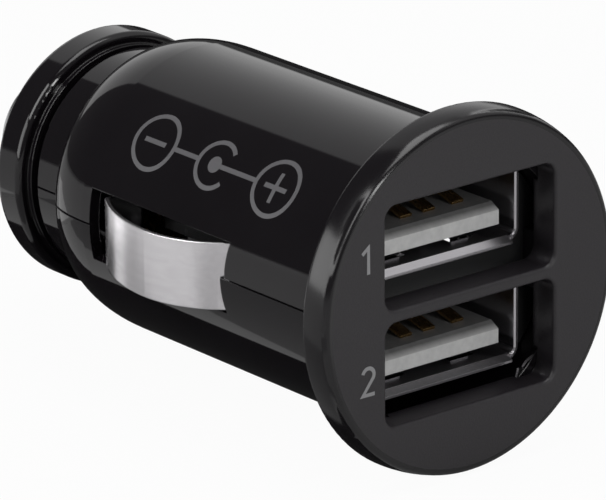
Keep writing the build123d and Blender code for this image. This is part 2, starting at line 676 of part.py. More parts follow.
def usb_contact(half, y):
    """One sprung contact blade on the tongue, with a tail through the base and board."""
    top_z = tongue_top_z(half)
    front_x = USB_FRONT_X - TONGUE_SETBACK - USB_CONTACT_INSET
    base_x = USB_REAR_X + USB_BASE_DEPTH
    middle_z = top_z + USB_CONTACT_THICKNESS / 2
    bow = ThreePointArc(
        (base_x, middle_z),
        ((front_x * 2 + base_x) / 3, middle_z + USB_CONTACT_RISE),
        (front_x, middle_z),
    )
    blade = Pos(0, y, 0) * strip(bow, USB_CONTACT_THICKNESS, USB_CONTACT_WIDTH, Plane.XZ)
    half_width = USB_CONTACT_WIDTH / 2
    tail = span_box(
        (base_x, SOCKET_BOARD_REAR_X),
        (y - half_width, y + half_width),
        (top_z, top_z + USB_CONTACT_THICKNESS),
    )
    return blade + tail


def usb_contacts(half):
    """The contact blades of one receptacle."""
    return [usb_contact(half, y) for y in USB_CONTACT_PLACES]


def usb_tongue(half):
    """Moulded insulator of one receptacle: its base and the bevelled tongue."""
    top_z = tongue_top_z(half)
    bottom_z = top_z - TONGUE_THICKNESS
    front_x = USB_FRONT_X - TONGUE_SETBACK
    base_x = USB_REAR_X + USB_BASE_DEPTH
    side_view = Polyline(
        (base_x, bottom_z),
        (front_x, bottom_z),
        (front_x, top_z - TONGUE_BEVEL_RISE),
        (front_x - TONGUE_BEVEL_RUN, top_z),
        (base_x, top_z),
        close=True,
    )
    tongue = extrude(Plane.XZ * make_face(side_view), amount=TONGUE_WIDTH / 2, both=True)
    base = rounded_bar(
        USB_OPENING_WIDTH - FIT_GAP,
        USB_OPENING_HEIGHT - FIT_GAP,
        USB_CORNER_RADIUS - USB_WALL,
        USB_REAR_X,
        base_x,
        USB_CENTRES[half],
    )
    body = tongue + base
    for contact in usb_contacts(half):
        body -= contact
    return body


def socket_board():
    """Round board behind the receptacles, with notches beside the side contacts."""
    board = rod_x(CAVITY_RADIUS - SOCKET_BOARD_GAP, USB_REAR_X, SOCKET_BOARD_REAR_X)
    notch_y = LEAF_PRESSED_FRONT_Y - RUN_GAP
    notch_z = SLOT_HALF_HEIGHT + RUN_GAP
    for sign in SIDES.values():
        board -= span_box((-LONG, LONG), (sign * notch_y, sign * LONG), (-notch_z, notch_z))
    for half, centre_z in USB_CENTRES.items():
        for sign in SIDES.values():
            outer_y = USB_OUTER_WIDTH / 2 + FIT_GAP
            board -= span_box(
                (-LONG, LONG),
                (sign * outer_y, sign * (outer_y - USB_WALL - 2 * FIT_GAP)),
                (centre_z - USB_LEG_WIDTH / 2 - FIT_GAP, centre_z + USB_LEG_WIDTH / 2 + FIT_GAP),
            )
        top_z = tongue_top_z(half)
        for y in USB_CONTACT_PLACES:
            reach = USB_CONTACT_WIDTH / 2 + FIT_GAP
            board -= span_box(
                (-LONG, LONG),
                (y - reach, y + reach),
                (top_z - FIT_GAP, top_z + USB_CONTACT_THICKNESS + FIT_GAP),
            )
    return board


def main_board():
    """Converter board along the axis, narrower at the back beside the contact tails."""
    heights = (-BOARD_TOP_Z, BOARD_TOP_Z)
    wide = MAIN_BOARD_HALF_WIDTH
    narrow = MAIN_BOARD_TAIL_HALF_WIDTH
    board = span_box((SOCKET_BOARD_REAR_X, MAIN_BOARD_WAIST_X), (-wide, wide), heights)
    return board + span_box((SOCKET_BOARD_REAR_X, MAIN_BOARD_REAR_X), (-narrow, narrow), heights)


def board_solder():
    """Solder fillets that join the main board to the socket board."""
    corner = (SOCKET_BOARD_REAR_X, BOARD_TOP_Z)
    section = Polyline(
        corner,
        (corner[0] - SOLDER_SIZE, corner[1]),
        (corner[0], corner[1] + SOLDER_SIZE),
        close=True,
    )
    fillet_bar = extrude(Plane.XZ * make_face(section), amount=SOLDER_WIDTH / 2, both=True)
    middle = (SOLDER_COUNT - 1) / 2
    return [Pos(0, (index - middle) * SOLDER_PITCH, 0) * fillet_bar for index in range(SOLDER_COUNT)]


def capacitor(radius, height, x):
    """Upright can capacitor standing on the main board, with rounded edges and a crimp."""
    can = post_z(radius, x, 0, BOARD_TOP_Z, BOARD_TOP_Z + height)
    can = fillet(can.edges().filter_by(GeomType.CIRCLE), CAPACITOR_EDGE_ROUND)
    crimp_z = BOARD_TOP_Z + 3 * CAPACITOR_EDGE_ROUND
    crimp = Pos(x, 0, crimp_z) * Torus(radius + CAPACITOR_EDGE_ROUND / 2, CAPACITOR_EDGE_ROUND)
    return can - crimp


def inductor_core():
    """Ferrite drum with a flange at each end."""
    top_z = BOARD_TOP_Z + INDUCTOR_HEIGHT
    core = post_z(INDUCTOR_CORE_RADIUS, INDUCTOR_X, 0, BOARD_TOP_Z, top_z)
    core += post_z(INDUCTOR_RADIUS, INDUCTOR_X, 0, BOARD_TOP_Z, BOARD_TOP_Z + INDUCTOR_FLANGE)
    return core + post_z(INDUCTOR_RADIUS, INDUCTOR_X, 0, top_z - INDUCTOR_FLANGE, top_z)


def inductor_winding():
    """Copper winding between the drum's flanges."""
    low_z = BOARD_TOP_Z + INDUCTOR_FLANGE
    high_z = BOARD_TOP_Z + INDUCTOR_HEIGHT - INDUCTOR_FLANGE
    coil = post_z(INDUCTOR_RADIUS - WINDING_INSET, INDUCTOR_X, 0, low_z, high_z)
    return coil - post_z(INDUCTOR_CORE_RADIUS, INDUCTOR_X, 0, -LONG, LONG)


def under_board(size, x, y, lift=0.0):
    """Small part of a given length, width and height on the main board's underside."""
    length, width, height = size
    top_z = -BOARD_TOP_Z - lift
    return span_box(
        (x - length / 2, x + length / 2), (y - width / 2, y + width / 2), (top_z, top_z - height)
    )


def converter_chip():
    """Moulded body of the step-down converter."""
    return under_board((CHIP_LENGTH, CHIP_WIDTH, CHIP_HEIGHT), CHIP_X, 0, CHIP_LEAD_THICKNESS)


def converter_leads():
    """Flat leads along both sides of the converter, lying on the board."""
    middle = (CHIP_LEADS_A_SIDE - 1) / 2
    size = (CHIP_LEAD_WIDTH, 2 * CHIP_LEAD_REACH, CHIP_LEAD_THICKNESS)
    return [
        under_board(size, CHIP_X + (index - middle) * CHIP_LEAD_PITCH, sign * CHIP_WIDTH / 2)
        for sign in SIDES.values()
        for index in range(CHIP_LEADS_A_SIDE)
    ]


def rectifier_diode():
    """Moulded rectifier with bevelled upper edges."""
    body = under_board(DIODE_SIZE, DIODE_X, 0)
    return chamfer(body.faces().sort_by(Axis.Z)[0].edges(), CAPACITOR_EDGE_ROUND)


def chip_resistors():
    """Row of chip resistors that set the charging current signals."""
    middle = (RESISTOR_COUNT - 1) / 2
    return [
        under_board(RESISTOR_SIZE, RESISTOR_ROW_X, (index - middle) * RESISTOR_PITCH)
        for index in range(RESISTOR_COUNT)
    ]


def ceramic_capacitors():
    """Pair of ceramic filter capacitors."""
    return [under_board(CERAMIC_SIZE, CERAMIC_X, y) for y in (-CERAMIC_Y, CERAMIC_Y)]


def board_fuse():
    """Surface-mounted fuse in the supply from the centre pin."""
    return under_board(FUSE_SIZE, FUSE_X, 0)


pieces = {
    "front_bezel": front_bezel(),
    "socket_frame": socket_frame(),
    "nose_ring": nose_ring(),
    "centre_pin": centre_pin(),
    "pin_spring": pin_spring(),
    "spring_terminal": spring_terminal(),
    "socket_board": socket_board(),
    "main_board": main_board(),
    "board_solder": board_solder(),
    "output_capacitor": capacitor(
        OUTPUT_CAPACITOR_RADIUS, OUTPUT_CAPACITOR_HEIGHT, OUTPUT_CAPACITOR_X
    ),
    "input_capacitor": capacitor(INPUT_CAPACITOR_RADIUS, INPUT_CAPACITOR_HEIGHT, INPUT_CAPACITOR_X),
    "inductor_core": inductor_core(),
    "inductor_winding": inductor_winding(),
    "converter_chip": converter_chip(),
    "converter_leads": converter_leads(),
    "rectifier_diode": rectifier_diode(),
    "chip_resistors": chip_resistors(),
    "ceramic_capacitors": ceramic_capacitors(),
    "board_fuse": board_fuse(),
}
for half in HALVES:
    pieces[f"{half}_shell"] = shell_half(half)
    pieces[f"{half}_usb_shell"] = usb_shell(half)
    pieces[f"{half}_usb_tongue"] = usb_tongue(half)
    pieces[f"{half}_usb_contacts"] = usb_contacts(half)
for side in SIDES:
    pieces[f"{side}_contact"] = side_contact(side)
    pieces[f"{side}_contact_tab"] = contact_tab(side)

os.makedirs("parts", exist_ok=True)
for node, piece in pieces.items():
    shape = Compound(children=piece) if isinstance(piece, list) else piece
    export_step(shape, f"parts/{node}.step")
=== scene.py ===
import logging
import math
from collections.abc import Callable, Iterable, Mapping, Sequence
from dataclasses import dataclass, field
from enum import Enum

import bmesh
import bpy
from mathutils import Matrix, Quaternion, Vector


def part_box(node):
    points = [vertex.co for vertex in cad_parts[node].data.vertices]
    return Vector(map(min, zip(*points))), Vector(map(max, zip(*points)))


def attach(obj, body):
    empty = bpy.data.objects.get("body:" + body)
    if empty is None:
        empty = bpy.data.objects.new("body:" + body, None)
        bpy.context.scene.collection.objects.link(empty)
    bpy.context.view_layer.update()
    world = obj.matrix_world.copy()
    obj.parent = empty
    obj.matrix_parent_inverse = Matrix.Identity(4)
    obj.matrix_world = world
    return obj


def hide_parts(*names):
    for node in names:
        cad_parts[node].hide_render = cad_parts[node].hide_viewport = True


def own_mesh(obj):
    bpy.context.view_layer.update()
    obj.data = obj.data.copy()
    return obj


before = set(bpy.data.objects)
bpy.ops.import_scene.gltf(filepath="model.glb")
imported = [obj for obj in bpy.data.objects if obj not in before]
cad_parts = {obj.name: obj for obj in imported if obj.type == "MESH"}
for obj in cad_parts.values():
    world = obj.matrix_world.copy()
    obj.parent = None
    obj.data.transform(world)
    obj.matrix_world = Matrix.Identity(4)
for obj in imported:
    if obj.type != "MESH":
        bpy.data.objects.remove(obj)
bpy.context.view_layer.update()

LOG = logging.getLogger("charger_plug")
MM = 0.001
NOISE_ROUGHNESS = 0.55
FINE_DETAIL = 3.0
EDGE_SAMPLES = 6
# Sockets of a Mix node that mixes colours
MIX_SHARE, MIX_LOW, MIX_HIGH, MIX_RESULT = 0, 6, 7, 2
Colour = tuple[float, float, float]
Triple = tuple[float, float, float]
Point = tuple[float, float]
Span = tuple[float, float]
Sockets = dict[str | int, object]
Corners = list[bmesh.types.BMVert]


class Half(Enum):
    """Upper or lower, of the two stacked ports and of the barrel's two halves."""

    UPPER = "upper"
    LOWER = "lower"


class Side(Enum):
    """The two sprung contacts, left and right as one looks at the face."""

    LEFT = "left"
    RIGHT = "right"


class Way(Enum):
    """How rolling marks run: their waves in a metre along X, Y and Z."""

    ALONG = (60.0, 2600.0, 2600.0)
    ACROSS = (2600.0, 60.0, 2600.0)
    TURNED = (2600.0, 160.0, 160.0)


class Signal:
    """A value that varies over a surface: one output socket, with arithmetic."""

    def __init__(self, sheet: "NodeSheet", socket: bpy.types.NodeSocket) -> None:
        """Keeps the socket and the sheet that it belongs to."""
        self.sheet = sheet
        self.socket = socket

    def __add__(self, other: "Signal | float") -> "Signal":
        """Sum of two values."""
        return self.sheet.math("ADD", self, other)

    def __radd__(self, other: float) -> "Signal":
        """Sum with a plain number on the left."""
        return self.sheet.math("ADD", other, self)

    def __sub__(self, other: "Signal | float") -> "Signal":
        """Difference of two values."""
        return self.sheet.math("SUBTRACT", self, other)

    def __rsub__(self, other: float) -> "Signal":
        """Difference with a plain number on the left."""
        return self.sheet.math("SUBTRACT", other, self)

    def __mul__(self, other: "Signal | float") -> "Signal":
        """Product of two values."""
        return self.sheet.math("MULTIPLY", self, other)

    def __rmul__(self, other: float) -> "Signal":
        """Product with a plain number on the left."""
        return self.sheet.math("MULTIPLY", other, self)

    def __abs__(self) -> "Signal":
        """The value without its sign."""
        return self.sheet.math("ABSOLUTE", self, 0.0)

    def smooth(self, low: float, high: float) -> "Signal":
        """Soft step from 0 at low to 1 at high.

        Args:
            low: value at which the step starts.
            high: value at which the step ends.

        Returns:
            The step, between 0 and 1.
        """
        return self.sheet.signal(
            "ShaderNodeMapRange",
            {"interpolation_type": "SMOOTHSTEP"},
            {"Value": self, "From Min": low, "From Max": high},
        )

    def spread(self, low: float, high: float, start: float, end: float) -> "Signal":
        """Straight change from start at low to end at high, held outside them.

        Args:
            low: value that gives start.
            high: value that gives end.
            start: result at low.
            end: result at high.

        Returns:
            The new value.
        """
        return self.sheet.signal(
            "ShaderNodeMapRange",
            {"clamp": True},
            {"Value": self, "From Min": low, "From Max": high, "To Min": start, "To Max": end},
        )


class NodeSheet:
    """A node tree that is written node by node."""

    def __init__(self, tree: bpy.types.NodeTree) -> None:
        """Empties the tree and keeps it."""
        self.tree = tree
        tree.nodes.clear()

    def node(
        self,
        kind: str,
        settings: Mapping[str, object] | None = None,
        inputs: Mapping[str | int, object] | None = None,
    ) -> bpy.types.Node:
        """Adds one node.

        Args:
            kind: Blender's name for the node's type.
            settings: the node's own settings, which are set first.
            inputs: a value or a signal for each socket that is used.

        Returns:
            The new node.
        """
        made = self.tree.nodes.new(kind)
        for name, value in (settings or {}).items():
            setattr(made, name, value)
        for name, value in (inputs or {}).items():
            socket = made.inputs[name]
            if isinstance(value, Signal):
                self.tree.links.new(value.socket, socket)
            else:
                socket.default_value = value
        return made

    def signal(
        self,
        kind: str,
        settings: Mapping[str, object] | None = None,
        inputs: Mapping[str | int, object] | None = None,
        output: str | int = 0,
    ) -> Signal:
        """Adds one node and gives one of its outputs.

        Args:
            kind: Blender's name for the node's type.
            settings: the node's own settings.
            inputs: a value or a signal for each socket that is used.
            output: name or number of the output.

        Returns:
            The output as a signal.
        """
        return Signal(self, self.node(kind, settings, inputs).outputs[output])

    def math(self, operation: str, a: Signal | float, b: Signal | float) -> Signal:
        """One Math node on two values."""
        return self.signal("ShaderNodeMath", {"operation": operation}, {0: a, 1: b})

    def place(self) -> Signal:
        """Place on the piece, in metres in the plug's own frame."""
        return self.signal("ShaderNodeTexCoord", output="Object")

    def part(self, vector: Signal, axis: str) -> Signal:
        """One component, X, Y or Z, of a vector."""
        return self.signal("ShaderNodeSeparateXYZ", None, {"Vector": vector}, axis)

    def stretched(self, vector: Signal, factors: Sequence[float]) -> Signal:
        """A vector with each component multiplied."""
        return self.signal(
            "ShaderNodeVectorMath", {"operation": "MULTIPLY"}, {0: vector, 1: tuple(factors)}
        )

    def grain(self, vector: Signal, scale: float, detail: float = 2.0) -> Signal:
        """Noise between 0 and 1.

        Args:
            vector: place to read the noise at.
            scale: waves in a metre, or in a unit of a stretched place.
            detail: octaves of finer noise.

        Returns:
            The noise.
        """
        return self.signal(
            "ShaderNodeTexNoise",
            {"noise_dimensions": "3D"},
            {
                "Vector": vector,
                "Scale": scale,
                "Detail": detail,
                "Roughness": NOISE_ROUGHNESS,
            },
        )

    def tint(self, share: Signal | float, low: Colour | Signal, high: Colour | Signal) -> Signal:
        """Mix of two colours.

        Args:
            share: 0 for the first colour, 1 for the second.
            low: first colour.
            high: second colour.

        Returns:
            The mixed colour.
        """
        ends = [end if isinstance(end, Signal) else (*end, 1.0) for end in (low, high)]
        return self.signal(
            "ShaderNodeMix",
            {"data_type": "RGBA"},
            {MIX_SHARE: share, MIX_LOW: ends[0], MIX_HIGH: ends[1]},
            MIX_RESULT,
        )

    def bump(
        self, height: Signal, depth: float, strength: float = 1.0, edge: float = 0.0
    ) -> Signal:
        """Normal of a finely uneven surface.

        Args:
            height: height pattern between 0 and 1.
            depth: depth of the pattern in metres.
            strength: share of the effect.
            edge: radius in metres to which sharp edges look broken, or 0 for none.

        Returns:
            The bent normal.
        """
        inputs: Sockets = {"Height": height, "Distance": depth, "Strength": strength}
        if edge > 0.0:
            inputs["Normal"] = self.signal(
                "ShaderNodeBevel", {"samples": EDGE_SAMPLES}, {"Radius": edge}
            )
        return self.signal("ShaderNodeBump", None, inputs)


def blank_material(name: str) -> tuple[bpy.types.Material, NodeSheet]:
    """Makes a material with no nodes yet.

    Args:
        name: name of the material.

    Returns:
        The material, and the sheet for its nodes.
    """
    made = bpy.data.materials.new(name)
    made.use_nodes = True
    return made, NodeSheet(made.node_tree)


@dataclass(frozen=True)
class Finish:
    """A finish that several pieces can share."""

    name: str

    def sockets(self, sheet: NodeSheet) -> Sockets:
        """Values and signals for the shader's sockets."""
        raise NotImplementedError

    def material(self) -> bpy.types.Material:
        """Makes the material, or gives the one that was made before.

        Returns:
            The material.
        """
        made = bpy.data.materials.get(self.name)
        if made is not None and made.get("finish_done"):
            return made
        made, sheet = blank_material(self.name)
        made["finish_done"] = True
        shader = sheet.signal("ShaderNodeBsdfPrincipled", None, self.sockets(sheet))
        sheet.node("ShaderNodeOutputMaterial", None, {"Surface": shader})
        return made


@dataclass(frozen=True)
class GlossPlastic(Finish):
    """Black moulding with a high gloss, a faint ripple and fine handling marks."""

    colour: Colour = (0.003, 0.0022, 0.0031)
    bloom: Colour = (0.0048, 0.0038, 0.005)
    roughness: float = 0.045
    mottle: float = 0.03
    cloud_scale: float = 210.0
    mark_scales: Triple = (500.0, 4200.0, 4200.0)
    ripple: float = 0.0012 * MM
    ripple_scale: float = 420.0
    edge: float = 0.08 * MM

    def sockets(self, sheet: NodeSheet) -> Sockets:
        """Gloss with slow mottling and a ripple in the skin.

        Args:
            sheet: sheet on which the nodes are written.

        Returns:
            Values and signals for the shader's sockets.
        """
        place = sheet.place()
        cloud = sheet.grain(place, self.cloud_scale)
        marks = sheet.grain(sheet.stretched(place, self.mark_scales), 1.0, FINE_DETAIL)
        waves = sheet.grain(place, self.ripple_scale, 1.0)
        return {
            "Base Color": sheet.tint(cloud, self.colour, self.bloom),
            "Roughness": self.roughness + self.mottle * cloud * marks,
            "Normal": sheet.bump(waves, self.ripple, edge=self.edge),
        }


@dataclass(frozen=True)
class BezelPlastic(Finish):
    """Black moulding with a glossy rim, a finely etched face and satin window walls."""

    face_radius: float = 11.86 * MM
    face_x: float = 2.25 * MM
    face_blend: float = 0.08 * MM
    wall_span: Span = (0.14 * MM, 0.04 * MM)
    gloss_colour: Colour = (0.0041, 0.0033, 0.0043)
    face_colour: Colour = (0.0142, 0.0122, 0.0146)
    face_fleck: Colour = (0.0216, 0.0192, 0.0222)
    gloss_roughness: float = 0.15
    gloss_mottle: float = 0.03
    cloud_scale: float = 190.0
    face_roughness: float = 0.5
    wall_roughness: float = 0.3
    wall_polish: float = 0.7
    etch_scale: float = 7600.0
    etch_mottle: float = 0.12
    etch_depth: float = 0.01 * MM
    fleck_span: Span = (0.35, 0.7)
    edge: float = 0.2 * MM

    def sockets(self, sheet: NodeSheet) -> Sockets:
        """Etched texture on the face, satin inside the windows and gloss on the rim.

        Args:
            sheet: sheet on which the nodes are written.

        Returns:
            Values and signals for the shader's sockets.
        """
        place = sheet.place()
        x, y, z = (sheet.part(place, axis) for axis in "XYZ")
        rim, blend = self.face_radius / MM, self.face_blend / MM
        reach = (y * y + z * z) * (1.0 / MM**2)
        face = 1.0 - reach.smooth(rim**2, (rim + blend) ** 2)
        deep, shallow = self.wall_span
        wall = 1.0 - x.smooth(self.face_x - deep, self.face_x - shallow)
        etch = sheet.grain(place, self.etch_scale, FINE_DETAIL)
        cloud = sheet.grain(place, self.cloud_scale)
        fleck = etch.spread(*self.fleck_span, 0.0, 1.0)
        flecked = sheet.tint(fleck, self.face_colour, self.face_fleck)
        gloss = self.gloss_roughness + self.gloss_mottle * cloud
        matt = self.face_roughness - (self.face_roughness - self.wall_roughness) * wall
        height = etch * face * (1.0 - self.wall_polish * wall)
        return {
            "Base Color": sheet.tint(face, self.gloss_colour, flecked),
            "Roughness": gloss + face * (matt - gloss + self.etch_mottle * (etch - 0.5)),
            "Normal": sheet.bump(height, self.etch_depth, edge=self.edge),
        }


@dataclass(frozen=True)
class MattMoulding(Finish):
    """Moulding with a fine even grain."""

    colour: Colour = (0.01, 0.01, 0.011)
    fleck: Colour = (0.016, 0.016, 0.017)
    roughness: float = 0.5
    mottle: float = 0.14
    grain_scale: float = 5200.0
    grain_depth: float = 0.006 * MM
    grain_share: float = 0.7
    cloud_scale: float = 300.0

    def sockets(self, sheet: NodeSheet) -> Sockets:
        """Fine grain in colour, roughness and height.

        Args:
            sheet: sheet on which the nodes are written.

        Returns:
            Values and signals for the shader's sockets.
        """
        place = sheet.place()
        grain = sheet.grain(place, self.grain_scale, FINE_DETAIL)
        cloud = sheet.grain(place, self.cloud_scale)
        mixed = grain * self.grain_share + cloud * (1.0 - self.grain_share)
        return {
            "Base Color": sheet.tint(mixed, self.colour, self.fleck),
            "Roughness": self.roughness + self.mottle * (grain - 0.5),
            "Normal": sheet.bump(grain, self.grain_depth),
        }


@dataclass(frozen=True)
class TonguePlastic(Finish):
    """Insulator, pale at its nose, with painted shade that darkens its top and sides behind the
    nose.
    """

    nose_x: float = -1.0 * MM
    shade_fade: float = 0.5 * MM
    nose: Colour = (0.5, 0.5, 0.5)
    nose_fleck: Colour = (0.66, 0.66, 0.652)
    # body and its fleck are the painted shade tone given to the top and sides behind the nose;
    # the plastic itself is the pale nose colour.
    body: Colour = (0.12, 0.12, 0.12)
    shaded_fleck: Colour = (0.18, 0.18, 0.178)
    roughness: float = 0.45
    mottle: float = 0.14
    grain_scale: float = 3600.0
    blot_scale: float = 1300.0
    blot_span: Span = (0.3, 0.7)
    depth: float = 0.02 * MM

    def sockets(self, sheet: NodeSheet) -> Sockets:
        """Grain over a tone that falls behind the nose: painted shade on the top and sides.

        Args:
            sheet: sheet on which the nodes are written.

        Returns:
            Values and signals for the shader's sockets.
        """
        place = sheet.place()
        grain = sheet.grain(place, self.grain_scale, FINE_DETAIL)
        blot = sheet.grain(place, self.blot_scale).spread(*self.blot_span, 0.0, 1.0)
        mixed = grain * 0.5 + blot * 0.5
        # Painted shade: behind the nose the pale plastic turns to the darker body tone.
        bare = sheet.part(place, "X").spread(self.nose_x - self.shade_fade, self.nose_x, 0.0, 1.0)
        pale = sheet.tint(mixed, self.nose, self.nose_fleck)
        painted_shade_tone = sheet.tint(mixed, self.body, self.shaded_fleck)
        return {
            "Base Color": sheet.tint(bare, painted_shade_tone, pale),
            "Roughness": self.roughness + self.mottle * (grain - 0.5),
            "Normal": sheet.bump(mixed, self.depth),
        }


@dataclass(frozen=True)
class RolledMetal(Finish):
    """Plated sheet or wire with fine rolling marks and slightly uneven plate."""

    colour: Colour = (0.72, 0.72, 0.73)
    shade: Colour = (0.6, 0.6, 0.61)
    roughness: float = 0.16
    spread: float = 0.12
    way: Way = Way.ALONG
    mark_depth: float = 0.002 * MM
    cloud_scale: float = 260.0
    edge: float = 0.07 * MM

    def sockets(self, sheet: NodeSheet) -> Sockets:
        """Rolling marks in colour, roughness and height.

        Args:
            sheet: sheet on which the nodes are written.

        Returns:
            Values and signals for the shader's sockets.
        """
        place = sheet.place()
        marks = sheet.grain(sheet.stretched(place, self.way.value), 1.0, FINE_DETAIL)
        cloud = sheet.grain(place, self.cloud_scale)
        return {
            "Base Color": sheet.tint(marks * 0.5 + cloud * 0.5, self.colour, self.shade),
            "Metallic": 1.0,
            "Roughness": self.roughness + self.spread * marks * cloud,
            "Normal": sheet.bump(marks, self.mark_depth, edge=self.edge),
        }


@dataclass(frozen=True)
class BoardLaminate(Finish):
    """Circuit board with black solder mask over fine tracks and small vias."""

    mask: Colour = (0.004, 0.0045, 0.0045)
    track: Colour = (0.007, 0.0085, 0.008)
    via: Colour = (0.013, 0.014, 0.013)
    pitch: float = 1100.0
    gap: float = 0.18
    gap_blend: float = 0.2
    via_pitch: float = 620.0
    via_edge: Span = (0.12, 0.16)
    roughness: float = 0.38
    via_polish: float = 0.08
    relief: float = 0.02 * MM
    relief_share: float = 0.6

    def sockets(self, sheet: NodeSheet) -> Sockets:
        """Tracks and vias that stand up under the mask.

        Args:
            sheet: sheet on which the nodes are written.

        Returns:
            Values and signals for the shader's sockets.
        """
        place = sheet.place()
        cells = sheet.signal(
            "ShaderNodeTexBrick",
            {"offset": 0.5},
            {
                "Vector": place,
                "Scale": self.pitch,
                "Mortar Size": self.gap,
                "Mortar Smooth": self.gap_blend,
            },
            "Fac",
        )
        spots = sheet.signal(
            "ShaderNodeTexVoronoi", None, {"Vector": place, "Scale": self.via_pitch}, "Distance"
        )
        via = 1.0 - spots.smooth(*self.via_edge)
        masked = sheet.tint(cells, self.track, self.mask)
        return {
            "Base Color": sheet.tint(via, masked, self.via),
            "Roughness": self.roughness - self.via_polish * via,
            "Normal": sheet.bump(1.0 - cells + via, self.relief, self.relief_share),
        }


@dataclass(frozen=True)
class CanSleeve(Finish):
    """Capacitor can with a shrunk sleeve, a pale stripe and a scored bare top."""

    middle: Point = (0.0, 0.0)
    radius: float = 2.0 * MM
    top_z: float = 6.0 * MM
    sleeve: Colour = (0.012, 0.018, 0.04)
    stripe: Colour = (0.5, 0.5, 0.5)
    metal: Colour = (0.75, 0.75, 0.76)
    # scored is the darker tone inside the score groove of the bare top: painted shade in the
    # groove.
    scored: Colour = (0.3, 0.3, 0.31)
    lid_span: Span = (0.3 * MM, 0.22 * MM)
    stripe_span: Span = (0.8, 0.84)
    cut: float = 0.12 * MM
    cut_floor: float = 0.6
    cut_depth: float = 0.05 * MM
    cut_share: float = 0.8
    roughness: float = 0.3
    mottle: float = 0.1
    grain_scale: float = 900.0

    def sockets(self, sheet: NodeSheet) -> Sockets:
        """Sleeve, stripe and scored top told apart by their place.

        Args:
            sheet: sheet on which the nodes are written.

        Returns:
            Values and signals for the shader's sockets.
        """
        place = sheet.place()
        x = sheet.part(place, "X") - self.middle[0]
        y = sheet.part(place, "Y") - self.middle[1]
        low, high = (self.top_z - depth for depth in self.lid_span)
        top = sheet.part(place, "Z").smooth(low, high)
        stripe = y.smooth(*(self.radius * share for share in self.stripe_span))
        groove = self.cut * self.cut_floor, self.cut
        score = 1.0 - abs(x).smooth(*groove) * abs(y).smooth(*groove)
        wall = sheet.tint(stripe, self.sleeve, self.stripe)
        # Painted shade: the bare top is darker inside the score groove.
        bare = sheet.tint(score, self.metal, self.scored)
        return {
            "Base Color": sheet.tint(top, wall, bare),
            "Metallic": top,
            "Roughness": self.roughness + self.mottle * sheet.grain(place, self.grain_scale),
            "Normal": sheet.bump(1.0 - score * top, self.cut_depth, self.cut_share),
        }


@dataclass(frozen=True)
class WoundWire(Finish):
    """Enamelled copper wire, wound turn by turn."""

    pitch: float = 0.32 * MM
    # The two tones are painted light: a painted highlight on each turn's crown and painted shade
    # in the grooves between turns.
    crown_highlight: Colour = (0.72, 0.3, 0.13)
    groove_shade: Colour = (0.24, 0.07, 0.03)
    roughness: float = 0.24
    groove_roughness: float = 0.1
    depth: float = 0.08 * MM

    def sockets(self, sheet: NodeSheet) -> Sockets:
        """Round turns seen as ridges along the height, with a painted highlight on each crown
        and painted shade between turns.

        Args:
            sheet: sheet on which the nodes are written.

        Returns:
            Values and signals for the shader's sockets.
        """
        height = sheet.part(sheet.place(), "Z") * (math.tau / self.pitch)
        turns = sheet.math("SINE", height, 0.0) * 0.5 + 0.5
        return {
            # Painted highlight and shade: the copper is lighter on each crown and darker between
            # turns.
            "Base Color": sheet.tint(turns, self.groove_shade, self.crown_highlight),
            "Metallic": 1.0,
            "Roughness": self.roughness + self.groove_roughness * (1.0 - turns),
            "Normal": sheet.bump(turns, self.depth),
        }


@dataclass(frozen=True)
class EndCapped(Finish):
    """Small chip part with tinned ends along its width."""

    half_width: float = 1.0 * MM
    centres: tuple[float, ...] = (0.0,)
    cap: float = 0.35 * MM
    cap_blend: float = 0.03 * MM
    body: Colour = (0.36, 0.26, 0.16)
    fleck: Colour = (0.45, 0.34, 0.22)
    tin: Colour = (0.7, 0.7, 0.7)
    roughness: float = 0.42
    tin_polish: float = 0.12
    mottle: float = 0.1
    grain_scale: float = 4200.0

    def sockets(self, sheet: NodeSheet) -> Sockets:
        """Tinned ends where the body comes to its width.

        Args:
            sheet: sheet on which the nodes are written.

        Returns:
            Values and signals for the shader's sockets.
        """
        place = sheet.place()
        y = sheet.part(place, "Y")
        inside: Signal | float = 0.0
        edge = self.half_width - self.cap
        for centre in self.centres:
            inside = inside + (1.0 - abs(y - centre).smooth(edge, edge + self.cap_blend))
        grain = sheet.grain(place, self.grain_scale)
        ends = 1.0 - inside
        moulded = sheet.tint(grain, self.body, self.fleck)
        return {
            "Base Color": sheet.tint(ends, moulded, self.tin),
            "Metallic": ends,
            "Roughness": self.roughness - self.tin_polish * ends + self.mottle * grain,
        }


def dress(node: str, finish: Finish) -> None:
    """Gives a CAD node its finish.

    Args:
        node: name of the node.
        finish: finish for all its faces.
    """
    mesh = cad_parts[node].data
    mesh.materials.clear()
    mesh.materials.append(finish.material())
    LOG.info("%s wears %s", node, finish.name)


SHELL_GLOSS = GlossPlastic("shell_gloss")
RING_GLOSS = GlossPlastic("ring_gloss", roughness=0.06, mottle=0.04, edge=0.16 * MM)
FRAME_BLACK = MattMoulding(
    "frame_black", colour=(0.004, 0.004, 0.0045), fleck=(0.007, 0.007, 0.0075)
)
CONTACT_BRASS = RolledMetal(
    "contact_brass", colour=(0.62, 0.42, 0.19), shade=(0.4, 0.25, 0.1), roughness=0.24
)
SOLDER_GREY = RolledMetal(
    "solder_grey",
    colour=(0.66, 0.66, 0.67),
    shade=(0.5, 0.5, 0.52),
    roughness=0.3,
    way=Way.ACROSS,
)
FERRITE = MattMoulding("ferrite", colour=(0.03, 0.03, 0.032), fleck=(0.07, 0.07, 0.07))
EPOXY_BLACK = MattMoulding("epoxy_black", roughness=0.42, grain_scale=4200.0)


